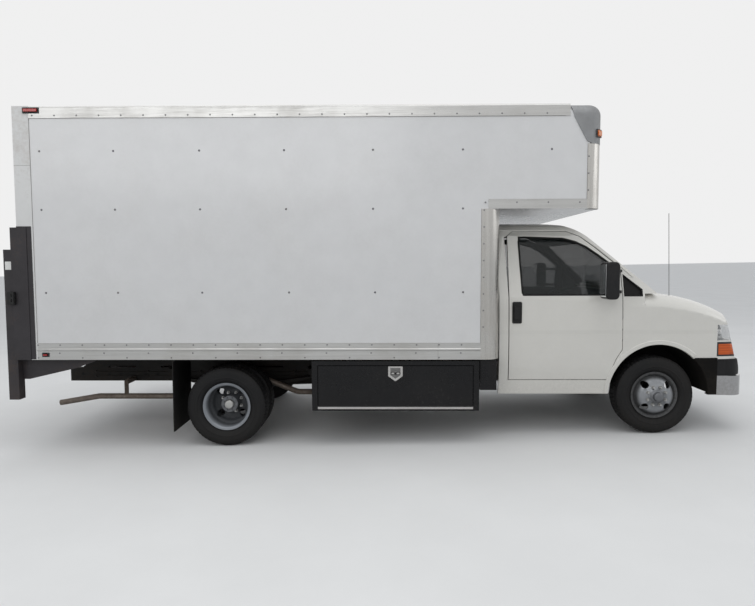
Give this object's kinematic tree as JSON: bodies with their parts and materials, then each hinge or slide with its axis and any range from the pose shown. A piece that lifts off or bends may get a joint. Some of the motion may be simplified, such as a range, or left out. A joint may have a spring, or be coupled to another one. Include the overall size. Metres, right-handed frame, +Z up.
{
  "type": "box truck",
  "caption": "Box truck on a cutaway van chassis: white cab, freight body with a nose over the cab, side toolbox and rail liftgate.",
  "frame": {"origin": "centre of the bounding box on the ground the wheels stand on", "axes": "+X forward, +Y to the truck's left, +Z up"},
  "size_m": [6.9208, 2.54, 3.1271],
  "materials": {
    "white_panel": "glossy white body panel",
    "cab_white": "glossy white paint",
    "rail_aluminium": "mill-finish extruded aluminium",
    "post_aluminium": "bright rolled aluminium",
    "cap_cast": "grey cast aluminium",
    "chassis_black": "dull black chassis paint, dusty",
    "lift_grey": "dark grey lift paint, dusty",
    "toolbox_black": "gloss black powder coat",
    "deck_wood": "laminated hardwood floor",
    "engine_cast": "raw casting",
    "axle_cast": "black casting",
    "exhaust_steel": "heat-tinted, rusty steel",
    "tank_plastic": "black moulded tank",
    "rubber": "black rubber",
    "tyre": "worn dusty tyre rubber",
    "wheel_steel": "silver grey painted steel wheel",
    "chrome": "chromed steel",
    "trim_black": "textured black plastic",
    "liner_black": "black liner",
    "glass": "tinted glass",
    "lamp_clear": "clear and amber lamp lenses",
    "lamp_red": "red and amber lamp lenses",
    "dash_plastic": "dark grey plastic",
    "seat_fabric": "dark grey cloth",
    "door_curtain": "white roll-up door sections"
  },
  "bodies": {
    "truck": {"frame": "chassis_black", "body_sills": "chassis_black", "body_floor": "deck_wood", "side_walls": "white_panel", "front_wall": "white_panel", "nose_shell": "white_panel", "roof": "white_panel", "body_rails": "rail_aluminium", "corner_posts": "post_aluminium", "corner_caps": "cap_cast", "rear_frame": "white_panel", "rear_door": "door_curtain", "body_lamps": "lamp_red", "lift_columns": "lift_grey", "toolbox": "toolbox_black", "mud_flaps": "rubber", "cab_shell": "cab_white", "front_lamps": "lamp_clear", "grille": "trim_black", "bumper": "chrome", "bumper_cover": "trim_black", "radiator": "engine_cast", "wheelhouses": "liner_black", "windshield": "glass", "dashboard": "dash_plastic", "steering_wheel": "dash_plastic", "seats": "seat_fabric", "engine_block": "engine_cast", "rear_axle": "axle_cast", "propeller_shaft": "axle_cast", "suspension": "chassis_black", "exhaust": "exhaust_steel", "fuel_tank": "tank_plastic"},
    "left_door": {"cab_door_left": "cab_white", "door_glass_left": "glass", "mirror_left": "trim_black"},
    "right_door": {"cab_door_right": "cab_white", "door_glass_right": "glass", "mirror_right": "trim_black"},
    "hood": {"hood": "cab_white"},
    "toolbox_door": {"toolbox_door": "toolbox_black"},
    "lift_carriage": {"lift_carriage": "lift_grey"},
    "lift_platform": {"lift_platform": "lift_grey"},
    "left_knuckle": {"knuckle_left": "axle_cast"},
    "right_knuckle": {"knuckle_right": "axle_cast"},
    "front_left_wheel": {"front_wheel_left": "wheel_steel", "front_tyre_left": "tyre"},
    "front_right_wheel": {"front_wheel_right": "wheel_steel", "front_tyre_right": "tyre"},
    "rear_left_wheels": {"rear_wheels_left": "wheel_steel", "rear_tyres_left": "tyre"},
    "rear_right_wheels": {"rear_wheels_right": "wheel_steel", "rear_tyres_right": "tyre"}
  },
  "joints": [
    {"name": "steer_left", "type": "hinge", "parent": "truck", "child": "left_knuckle", "pos_m": [2.55242, 0.765, 0.37], "axis": [0.0166, 0, 0.9999], "range_deg": [-32, 32]},
    {"name": "front_left_spin", "type": "hinge", "parent": "left_knuckle", "child": "front_left_wheel", "pos_m": [2.55242, 0.865, 0.37], "axis": [0, 1, 0], "continuous": true},
    {"name": "rear_left_spin", "type": "hinge", "parent": "truck", "child": "rear_left_wheels", "pos_m": [-1.48714, 0.923, 0.37], "axis": [0, 1, 0], "continuous": true},
    {"name": "door_left", "type": "hinge", "parent": "truck", "child": "left_door", "pos_m": [2.22622, 1.01, 1.20552], "axis": [-0.0166, 0, -0.9999], "range_deg": [0, 68]},
    {"name": "steer_right", "type": "hinge", "parent": "truck", "child": "right_knuckle", "pos_m": [2.55242, -0.765, 0.37], "axis": [0.0166, 0, 0.9999], "range_deg": [-32, 32]},
    {"name": "front_right_spin", "type": "hinge", "parent": "right_knuckle", "child": "front_right_wheel", "pos_m": [2.55242, -0.865, 0.37], "axis": [0, 1, 0], "continuous": true},
    {"name": "rear_right_spin", "type": "hinge", "parent": "truck", "child": "rear_right_wheels", "pos_m": [-1.48714, -0.923, 0.37], "axis": [0, 1, 0], "continuous": true},
    {"name": "door_right", "type": "hinge", "parent": "truck", "child": "right_door", "pos_m": [2.22622, -1.01, 1.20552], "axis": [0.0166, 0, 0.9999], "range_deg": [0, 68]},
    {"name": "hood_lift", "type": "hinge", "parent": "truck", "child": "hood", "pos_m": [2.59073, 0, 1.3535], "axis": [0, -1, 0], "range_deg": [0, 50]},
    {"name": "toolbox_drop", "type": "hinge", "parent": "truck", "child": "toolbox_door", "pos_m": [0.08001, -1.219, 0.36599], "axis": [0.9999, 0, -0.0166], "range_deg": [0, 90]},
    {"name": "lift_travel", "type": "slide", "parent": "truck", "child": "lift_carriage", "axis": [-0.0166, 0, -0.9999], "range_m": [0, 0.86]},
    {"name": "platform_fold", "type": "hinge", "parent": "lift_carriage", "child": "lift_platform", "pos_m": [-3.42805, 0, 0.93423], "axis": [0, -1, 0], "range_deg": [0, 90]}
  ],
  "couplings": [
    {"joint": "steer_right", "follows": "steer_left", "ratio": 1}
  ]
}
